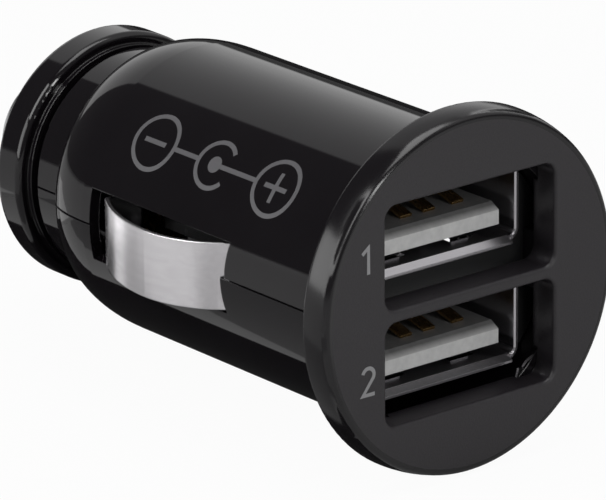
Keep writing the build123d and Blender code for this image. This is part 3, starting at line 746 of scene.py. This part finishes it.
def new_piece(name: str, grid: bmesh.types.BMesh, finish: Finish) -> bpy.types.Object:
    """Makes a dressed piece of the faces in a grid, and frees the grid.

    Args:
        name: name of the piece.
        grid: its faces, in metres in the plug's frame.
        finish: finish for all its faces.

    Returns:
        The new piece.
    """
    bmesh.ops.recalc_face_normals(grid, faces=grid.faces[:])
    mesh = bpy.data.meshes.new(name)
    grid.to_mesh(mesh)
    grid.free()
    mesh.materials.append(finish.material())
    piece = bpy.data.objects.new(name, mesh)
    bpy.context.scene.collection.objects.link(piece)
    return piece


def band(grid: bmesh.types.BMesh, ring: Corners, following: Corners) -> list[bmesh.types.BMFace]:
    """Joins two rings of corners with faces.

    Args:
        grid: grid that holds the corners.
        ring: corners of the first ring, in order.
        following: corners of the next ring, in the same order.

    Returns:
        The new faces.
    """
    ends = zip(ring, ring[1:] + ring[:1], following[1:] + following[:1], following)
    return [grid.faces.new(corners) for corners in ends]


@dataclass(frozen=True)
class Stroke:
    """One stroke of a printed mark: its middle line on the flat and its width."""

    path: list[Point]
    width: float
    closed: bool = False


@dataclass
class StrokeMark:
    """A printed mark made of strokes, as a thin closed film."""

    name: str
    strokes: list[Stroke]
    lay: Callable[[float, float, float], Vector]
    body: str
    slot: str
    film: float = 0.012 * MM
    sink: float = 0.01 * MM
    mitre: float = 0.5

    def edges(self, stroke: Stroke) -> list[tuple[Vector, Vector]]:
        """Left and right edge points along one stroke.

        Args:
            stroke: the stroke, in metres on the flat.

        Returns:
            A pair of points for each point of the stroke's path.
        """
        points = [Vector(point) for point in stroke.path]
        closed = stroke.closed
        count = len(points)
        pairs = []
        for index, point in enumerate(points):
            before = points[(index - 1) % count] if closed or index else None
            after = points[(index + 1) % count] if closed or index < count - 1 else None
            ways = []
            if before is not None:
                ways.append((point - before).normalized())
            if after is not None:
                ways.append((after - point).normalized())
            mean = sum(ways, Vector((0.0, 0.0))).normalized()
            across = Vector((-mean.y, mean.x))
            stretch = 1.0 / max(across.dot(Vector((-ways[0].y, ways[0].x))), self.mitre)
            reach = across * (stroke.width / 2 * stretch)
            pairs.append((point + reach, point - reach))
        return pairs

    def build(self, finish: Finish) -> bpy.types.Object:
        """Makes the film, dresses it and sets it on its body.

        Args:
            finish: finish of the print.

        Returns:
            The new piece.
        """
        grid = bmesh.new()
        for stroke in self.strokes:
            rings = []
            for left, right in self.edges(stroke):
                corners = [
                    self.lay(left.x, left.y, self.film),
                    self.lay(right.x, right.y, self.film),
                    self.lay(right.x, right.y, -self.sink),
                    self.lay(left.x, left.y, -self.sink),
                ]
                rings.append([grid.verts.new(corner) for corner in corners])
            nexts = rings[1:] + rings[:1] if stroke.closed else rings[1:]
            for ring, following in zip(rings, nexts):
                band(grid, ring, following)
            if not stroke.closed:
                grid.faces.new(rings[0])
                grid.faces.new(rings[-1])
        piece = new_piece(self.name, grid, finish)
        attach(piece, self.body)
        LOG.info("%s printed with %d strokes", self.name, len(self.strokes))
        return piece


def arc(middle: Point, radius: float, start: float, end: float, steps: int) -> list[Point]:
    """Points along a circle.

    Args:
        middle: centre of the circle.
        radius: radius in metres.
        start: first angle in degrees.
        end: last angle in degrees.
        steps: number of points.

    Returns:
        The points in order.
    """
    share = [start + (end - start) * step / (steps - 1) for step in range(steps)]
    return [
        (
            middle[0] + radius * math.cos(math.radians(angle)),
            middle[1] + radius * math.sin(math.radians(angle)),
        )
        for angle in share
    ]


def loop(middle: Point, radius: float, steps: int) -> list[Point]:
    """Points round a whole circle, whose first point isn't repeated."""
    return arc(middle, radius, 0.0, 360.0 - 360.0 / steps, steps)


def run(start: Point, end: Point, steps: int = 9) -> list[Point]:
    """Points along a straight stroke.

    Args:
        start: first point.
        end: last point.
        steps: number of points.

    Returns:
        The points in order.
    """
    return [
        (
            start[0] + (end[0] - start[0]) * step / (steps - 1),
            start[1] + (end[1] - start[1]) * step / (steps - 1),
        )
        for step in range(steps)
    ]


@dataclass
class Barrel:
    """The two glossy halves of the barrel, with a polarity sign printed on the flank."""

    radius: float = 10.4 * MM
    sign_x: float = -14.6 * MM
    sign_angle: float = 39.0
    circle: float = 2.0 * MM
    reach: float = 6.4 * MM
    stroke: float = 0.34 * MM
    cross_share: float = 0.55
    dot_share: float = 0.3
    ring_share: float = 0.85
    ring_gap: float = 40.0
    pinhole: float = 0.02
    circle_steps: int = 48
    dot_steps: int = 24
    ring_steps: int = 44
    bar_steps: int = 15

    def lay(self, u: float, v: float, lift: float) -> Vector:
        """Wraps a flat point round the left flank of the barrel.

        Args:
            u: distance along the barrel from the sign's middle.
            v: distance round the barrel from the sign's middle.
            lift: height over the surface.

        Returns:
            The point in the plug's frame.
        """
        angle = math.radians(self.sign_angle) + v / self.radius
        out = self.radius + lift
        return Vector((self.sign_x + u, -out * math.cos(angle), out * math.sin(angle)))

    def sign_strokes(self) -> list[Stroke]:
        """Plus and minus in circles, joined to a dot and an open ring between them.

        Returns:
            The strokes of the sign.
        """
        wide, join = self.stroke, self.stroke / 2
        cross = self.circle * self.cross_share
        dot = self.circle * self.dot_share
        ring = self.circle * self.ring_share
        disc = dot * (1.0 - self.pinhole)
        edge = self.reach - self.circle - join
        strokes = []
        for way in (-1, 1):
            middle = way * self.reach
            circle = loop((middle, 0.0), self.circle, self.circle_steps)
            strokes.append(Stroke(circle, wide, True))
            strokes.append(Stroke(run((middle - cross, 0.0), (middle + cross, 0.0)), wide))
            upright = run((self.reach, way * join), (self.reach, way * cross))
            strokes.append(Stroke(upright, wide))
        spot = loop((0.0, 0.0), dot - disc / 2, self.dot_steps)
        strokes.append(Stroke(spot, disc, True))
        turn = self.ring_gap, 360.0 - self.ring_gap
        strokes.append(Stroke(arc((0.0, 0.0), ring, *turn, self.ring_steps), wide))
        strokes.append(Stroke(run((dot, 0.0), (edge, 0.0), self.bar_steps), wide))
        strokes.append(Stroke(run((-ring - join, 0.0), (-edge, 0.0)), wide))
        return strokes

    def dress(self) -> None:
        """Gives the halves their gloss and prints the sign."""
        for half in Half:
            dress(f"{half.value}_shell", SHELL_GLOSS)
        ink = MattMoulding(
            "shell_ink", colour=(0.071, 0.069, 0.074), fleck=(0.088, 0.086, 0.091), roughness=0.4
        )
        StrokeMark(
            "polarity_sign", self.sign_strokes(), self.lay, "charger_body", "shell_plastic"
        ).build(ink)


@dataclass
class Face:
    """The bezel's face with a port number beside each window."""

    face_x: float = 2.25 * MM
    number_y: float = -8.9 * MM
    height: float = 2.1 * MM
    stroke: float = 0.26 * MM
    one: tuple[Point, ...] = ((-0.5, 0.55), (0.06, 1.0), (0.06, -1.0))
    bow_share: float = 0.52
    bow_turn: Span = (165.0, -30.0)
    bow_steps: int = 16
    foot_share: float = 1.1
    places: dict[Half, float] = field(
        default_factory=lambda: {Half.UPPER: 4.4 * MM, Half.LOWER: -3.9 * MM}
    )

    def number_strokes(self, half: Half) -> list[Stroke]:
        """Strokes of the number one or two, about the middle of the figure.

        Args:
            half: the port beside which the number stands.

        Returns:
            The strokes of the figure.
        """
        tall = self.height / 2 - self.stroke / 2
        if half is Half.UPPER:
            return [Stroke([(tall * u, tall * v) for u, v in self.one], self.stroke)]
        bow = tall * self.bow_share
        curve = arc((0.0, tall - bow), bow, *self.bow_turn, self.bow_steps)
        foot = [(-bow, -tall), (bow * self.foot_share, -tall)]
        return [Stroke(curve + foot, self.stroke)]

    def dress(self) -> None:
        """Gives the bezel its two textures and prints the numbers."""
        dress("front_bezel", BezelPlastic("bezel_plastic"))
        ink = MattMoulding(
            "number_ink", colour=(0.22, 0.22, 0.226), fleck=(0.27, 0.27, 0.276), roughness=0.45
        )
        for half, middle_z in self.places.items():

            def lay(u: float, v: float, lift: float, middle: float = middle_z) -> Vector:
                """Sets a flat point on the face, beside its window."""
                return Vector((self.face_x + lift, self.number_y + u, middle + v))

            StrokeMark(
                f"{half.value}_port_number",
                self.number_strokes(half),
                lay,
                "charger_body",
                "bezel_plastic",
            ).build(ink)


@dataclass
class Ports:
    """The two receptacles and the frame round them."""

    shell: RolledMetal = RolledMetal(
        "socket_steel",
        colour=(0.62, 0.602, 0.625),
        shade=(0.48, 0.465, 0.49),
        roughness=0.2,
        way=Way.ACROSS,
        edge=0.03 * MM,
    )

    def dress(self) -> None:
        """Gives the steel, the insulators, the blades and the frame their finishes."""
        tongue = TonguePlastic("tongue_plastic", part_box("upper_usb_tongue")[1].x)
        for half in Half:
            dress(f"{half.value}_usb_shell", self.shell)
            dress(f"{half.value}_usb_tongue", tongue)
            dress(f"{half.value}_usb_contacts", CONTACT_BRASS)
        dress("socket_frame", FRAME_BLACK)


@dataclass
class Coil:
    """The coil behind the centre pin, which shortens as the pin goes in."""

    node: str = "pin_spring"
    joint: str = "centre_pin_press"
    radius: float = 3.3 * MM
    wire: float = 0.5 * MM
    turns: int = 5
    stroke: float = 2.2 * MM
    steps: int = 28
    sides: int = 10

    def ring(self, share: float, start: float, end: float) -> list[Vector]:
        """Points round the wire at one place along the coil.

        Args:
            share: place along the coil, from 0 to 1.
            start: middle of the wire's first end along the plug.
            end: middle of the wire's last end along the plug.

        Returns:
            The points in order round the wire.
        """
        angle = math.tau * self.turns * share
        out = Vector((0.0, math.sin(angle), -math.cos(angle)))
        rise = (end - start) / (math.tau * self.turns)
        way = Vector((rise, self.radius * math.cos(angle), self.radius * math.sin(angle)))
        across = way.normalized().cross(out)
        middle = Vector((start + (end - start) * share, 0.0, 0.0)) + out * self.radius
        turns = [math.tau * side / self.sides for side in range(self.sides)]
        half = self.wire / 2
        return [middle + (out * math.cos(t) + across * math.sin(t)) * half for t in turns]

    def build(self, finish: Finish) -> bpy.types.Object:
        """Winds the wire, dresses it and sets it on the body in place of its node.

        Args:
            finish: finish of the wire.

        Returns:
            The coil, which stands for its node.
        """
        low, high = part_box(self.node)
        start, end = low.x + self.wire / 2, high.x - self.wire / 2
        count = self.turns * self.steps
        grid = bmesh.new()
        rings = [
            [grid.verts.new(point) for point in self.ring(step / count, start, end)]
            for step in range(count + 1)
        ]
        for ring, following in zip(rings, rings[1:]):
            for side in band(grid, ring, following):
                side.smooth = True
        for cut in (rings[0], rings[-1]):
            grid.faces.new(cut)
        coil = new_piece("pin_coil", grid, finish)
        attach(coil, "charger_body")
        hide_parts(self.node)
        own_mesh(coil)
        return coil


@dataclass
class SprungContacts:
    """The bowed side contacts, their tabs, and the centre pin with its spring and ring."""

    leaf: RolledMetal = RolledMetal(
        "leaf_plate",
        colour=(1.0, 0.974, 1.0),
        shade=(0.72, 0.7, 0.725),
        roughness=0.18,
        mark_depth=0.003 * MM,
        edge=0.11 * MM,
    )
    tip: RolledMetal = RolledMetal(
        "tip_plate",
        colour=(0.76, 0.76, 0.77),
        shade=(0.64, 0.64, 0.66),
        roughness=0.14,
        way=Way.TURNED,
    )
    wire: RolledMetal = RolledMetal(
        "spring_wire",
        colour=(0.6, 0.6, 0.62),
        shade=(0.42, 0.42, 0.44),
        roughness=0.28,
        way=Way.ACROSS,
    )
    coil: Coil = field(default_factory=Coil)

    def dress(self) -> None:
        """Gives the plated pieces and the ring their finishes."""
        for side in Side:
            dress(f"{side.value}_contact", self.leaf)
            dress(f"{side.value}_contact_tab", CONTACT_BRASS)
        dress("centre_pin", self.tip)
        dress(self.coil.node, self.wire)
        self.coil.build(self.wire)
        dress("spring_terminal", CONTACT_BRASS)
        dress("nose_ring", RING_GLOSS)


@dataclass
class Converter:
    """The boards inside the barrel and the parts on them."""

    capacitors: tuple[str, ...] = ("output_capacitor", "input_capacitor")
    resistors: int = 4
    row_pitch: float = 1.9 * MM
    resistor_half: float = 0.8 * MM
    resistor_black: Colour = (0.015, 0.015, 0.016)
    pair_y: float = 2.2 * MM
    ceramic_half: float = 1.0 * MM
    fuse_half: float = 1.6 * MM
    fuse_cream: Colour = (0.5, 0.48, 0.42)

    def dress(self) -> None:
        """Gives each part on the boards its finish."""
        laminate = BoardLaminate("board_laminate")
        for board in ("socket_board", "main_board"):
            dress(board, laminate)
        for solder in ("board_solder", "converter_leads"):
            dress(solder, SOLDER_GREY)
        for can in self.capacitors:
            low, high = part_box(can)
            middle = ((low.x + high.x) / 2, (low.y + high.y) / 2)
            dress(can, CanSleeve(f"{can}_sleeve", middle, (high.x - low.x) / 2, high.z))
        dress("inductor_core", FERRITE)
        dress("inductor_winding", WoundWire("winding_copper"))
        for moulded in ("converter_chip", "rectifier_diode"):
            dress(moulded, EPOXY_BLACK)
        first = (1 - self.resistors) / 2
        row = tuple((first + index) * self.row_pitch for index in range(self.resistors))
        resistor = EndCapped("resistor_body", self.resistor_half, row, body=self.resistor_black)
        dress("chip_resistors", resistor)
        pair = (-self.pair_y, self.pair_y)
        dress("ceramic_capacitors", EndCapped("ceramic_body", self.ceramic_half, pair))
        dress("board_fuse", EndCapped("fuse_body", self.fuse_half, body=self.fuse_cream))


@dataclass
class Lamp:
    """One soft rectangular lamp that faces the plug."""

    name: str
    place: Triple
    size: Span
    watts: float
    lean: float = 0.0
    target: Triple = (-15.0 * MM, 0.0, 0.0)

    def build(self) -> bpy.types.Object:
        """Makes the lamp and turns it to the plug.

        Returns:
            The lamp.
        """
        light = bpy.data.lights.new(self.name, "AREA")
        light.shape = "RECTANGLE"
        light.size, light.size_y = self.size
        light.energy = self.watts
        lamp = bpy.data.objects.new(self.name, light)
        lamp.location = self.place
        aim = (Vector(self.target) - Vector(self.place)).to_track_quat("-Z", "Y")
        lean = Quaternion((0.0, 0.0, 1.0), math.radians(self.lean))
        lamp.rotation_euler = (aim @ lean).to_euler()
        lamp.visible_camera = False
        bpy.context.scene.collection.objects.link(lamp)
        return lamp


@dataclass
class Card:
    """A plate on or over the floor that shows in the plug's gloss, and may light it."""

    name: str
    corners: tuple[Point, ...]
    glow: float
    lights: bool = False
    height: float = 0.0

    def dress(self, plate: bpy.types.Object) -> None:
        """Gives the plate its even glow and hides it from the camera.

        Args:
            plate: the plate that was laid for this card.
        """
        paper, sheet = blank_material(self.name)
        shine = sheet.signal("ShaderNodeEmission", None, {"Strength": self.glow})
        sheet.node("ShaderNodeOutputMaterial", None, {"Surface": shine})
        plate.data.materials.append(paper)
        plate.visible_camera = False
        plate.visible_diffuse = self.lights
        plate.visible_shadow = False
        plate.visible_transmission = False


@dataclass
class PhotoCamera:
    """The camera, standing where the photograph was taken from."""

    right: Triple = (0.633402, 0.773784, -0.007591)
    up: Triple = (-0.250494, 0.214310, 0.944099)
    back: Triple = (0.732157, -0.596094, 0.329573)
    place: Triple = (283.103 * MM, -242.952 * MM, 132.825 * MM)
    sensor: float = 36.0
    focal: float = 356.44
    clip: Span = (0.01, 20.0)

    def build(self) -> None:
        """Makes the camera and takes it into use."""
        lens = bpy.data.cameras.new("photo_camera")
        lens.sensor_fit = "HORIZONTAL"
        lens.sensor_width = self.sensor
        lens.lens = self.focal
        lens.clip_start, lens.clip_end = self.clip
        camera = bpy.data.objects.new("photo_camera", lens)
        rows = zip(self.right, self.up, self.back, self.place)
        camera.matrix_world = Matrix((*rows, (0.0, 0.0, 0.0, 1.0)))
        bpy.context.scene.collection.objects.link(camera)
        bpy.context.scene.camera = camera


@dataclass
class Studio:
    """Pale floor, soft lamps, the room's glow and the camera.

    Corners and heights of the cards are in millimetres. The spans of the room's glow are
    of the components of a direction, each from -1 to 1.
    """

    floor_z: float = -12.65 * MM
    floor_half: float = 2.5
    floor_tone: float = 0.42
    floor_seen: float = 0.96
    floor_mirrored: float = 0.08
    card_step: float = 0.003 * MM
    room_tone: float = 0.11
    front_tone: float = 0.1
    right_tone: float = 0.75
    behind_edge: Span = (-0.012, 0.012)
    side_blend: Span = (-0.2, 0.2)
    wall_heights: Span = (0.3, 0.7)
    wall_tones: Span = (1.06, 0.55)
    wall_foot: Span = (0.1, 0.14)
    front_turn: Span = (0.0, 0.6)
    front_rise: Span = (-0.1, 0.3)
    right_turn: Span = (0.25, 0.5)
    right_rise: Span = (0.3, 0.45)
    right_end: Span = (0.65, 0.85)
    cards: tuple[Card, ...] = (
        # The card under the plug is a nearly black plate seen only in its gloss: a painted
        # shadow standing for the floor's shade beneath the barrel.
        Card("shadow_card_below", ((-60, -11.8), (0.5, -11.8), (0.5, 11.8), (-60, 11.8)), 0.02),
        Card("card_behind", ((-2000, 45), (-50, 45), (-50, 2000), (-2000, 2000)), 0.02),
        Card("card_flank", ((-56, -33), (2, -33), (2, -11.8), (-56, -11.8)), 0.3),
        Card(
            "card_near",
            ((-56, -22), (-24, -14.6), (-10.6, -12.5), (-10.2, -11.8), (-56, -11.8)),
            0.6,
        ),
        Card("card_far", ((-115, -28), (-58, -24), (-58, -11.8), (-115, -11.8)), 1.1),
        Card("card_side", ((-6, -50), (18, -50), (18, -33), (-2, -33)), 0.36),
        Card("card_before", ((18, -350), (600, -350), (600, 350), (18, 350)), 0.55, True),
        Card("card_face", ((26, -2), (500, -40), (500, 340), (26, 22)), 0.85, True),
        Card("card_over", ((15.5, 6), (36, 6), (36, 44), (15.5, 44)), 0.03, False, 25.65),
    )
    lamps: tuple[Lamp, ...] = (
        Lamp("face_lamp", (0.548, -0.019, 0.244), (0.065, 0.48), 1.15, 40.0),
        Lamp("high_lamp", (-0.037, -0.423, 0.424), (0.36, 0.3), 1.7),
        Lamp("top_lamp", (0.05, 0.05, 0.75), (0.5, 0.5), 2.6),
        Lamp("left_lamp", (-0.209, -0.548, 0.15), (0.55, 0.29), 1.5),
    )

    def plate(self, name: str, corners: Sequence[Point], z: float) -> bpy.types.Object:
        """Makes one flat stage plate.

        Args:
            name: name of the plate.
            corners: corners in millimetres, in order round the plate.
            z: height in metres.

        Returns:
            The plate.
        """
        mesh = bpy.data.meshes.new(name)
        points = [(x * MM, y * MM, z) for x, y in corners]
        mesh.from_pydata(points, [], [tuple(range(len(points)))])
        plate = bpy.data.objects.new(name, mesh)
        bpy.context.scene.collection.objects.link(plate)
        return plate

    def build_floor(self) -> None:
        """Lays the pale floor, and the cards that the plug's gloss shows."""
        far = self.floor_half / MM
        corners = ((-far, -far), (far, -far), (far, far), (-far, far))
        floor = self.plate("floor", corners, self.floor_z)
        paper, sheet = blank_material("floor_paper")
        rays = sheet.node("ShaderNodeLightPath")
        seen = Signal(sheet, rays.outputs["Is Camera Ray"])
        mirrored = Signal(sheet, rays.outputs["Is Glossy Ray"])
        passed = Signal(sheet, rays.outputs["Is Transmission Ray"])
        tone = self.floor_tone
        matt = sheet.signal("ShaderNodeBsdfDiffuse", None, {"Color": (tone, tone, tone, 1.0)})
        glow = sheet.signal("ShaderNodeEmission", None, {"Strength": 1.0})
        share = self.floor_seen * seen + self.floor_mirrored * mirrored
        share = share + self.floor_mirrored * passed
        mixed = sheet.signal("ShaderNodeMixShader", None, {0: share, 1: matt, 2: glow})
        sheet.node("ShaderNodeOutputMaterial", None, {"Surface": mixed})
        floor.data.materials.append(paper)
        for level, card in enumerate(self.cards, 1):
            lift = card.height * MM + level * self.card_step
            card.dress(self.plate(card.name, card.corners, self.floor_z + lift))

    def build_room(self) -> None:
        """Sets the room's glow: a pale wall behind the plug, and less before and beside it."""
        world = bpy.data.worlds.new("room")
        bpy.context.scene.world = world
        world.use_nodes = True
        sheet = NodeSheet(world.node_tree)
        way = sheet.signal("ShaderNodeTexCoord", output="Generated")
        x, y, z = (sheet.part(way, axis) for axis in "XYZ")
        behind = y.smooth(*self.behind_edge) * (1.0 - x.smooth(*self.side_blend))
        wall = z.spread(*self.wall_heights, *self.wall_tones) * z.smooth(*self.wall_foot)
        front = x.smooth(*self.front_turn) * z.smooth(*self.front_rise)
        right = y.smooth(*self.right_turn) * z.smooth(*self.right_rise)
        right = right * x.smooth(*self.side_blend) * (1.0 - x.smooth(*self.right_end))
        glow = self.room_tone + behind * wall
        glow = glow + self.front_tone * front + self.right_tone * right
        rays = sheet.node("ShaderNodeLightPath")
        seen = Signal(sheet, rays.outputs["Is Camera Ray"])
        strength = seen + (1.0 - seen) * glow
        light = sheet.signal("ShaderNodeBackground", None, {"Strength": strength})
        sheet.node("ShaderNodeOutputWorld", None, {"Surface": light})

    def build(self) -> None:
        """Builds the whole studio and sets the plain view."""
        self.build_floor()
        self.build_room()
        for lamp in self.lamps:
            lamp.build()
        PhotoCamera().build()
        bpy.context.scene.view_settings.view_transform = "Standard"


def main() -> None:
    """Dresses the plug piece by piece and sets the studio round it."""
    logging.basicConfig(level=logging.INFO, format="%(name)s: %(message)s")
    for assembly in (Barrel(), Face(), Ports(), SprungContacts(), Converter()):
        assembly.dress()
        LOG.info("%s dressed", type(assembly).__name__)
    Studio().build()


if __name__ == "__main__":
    main()
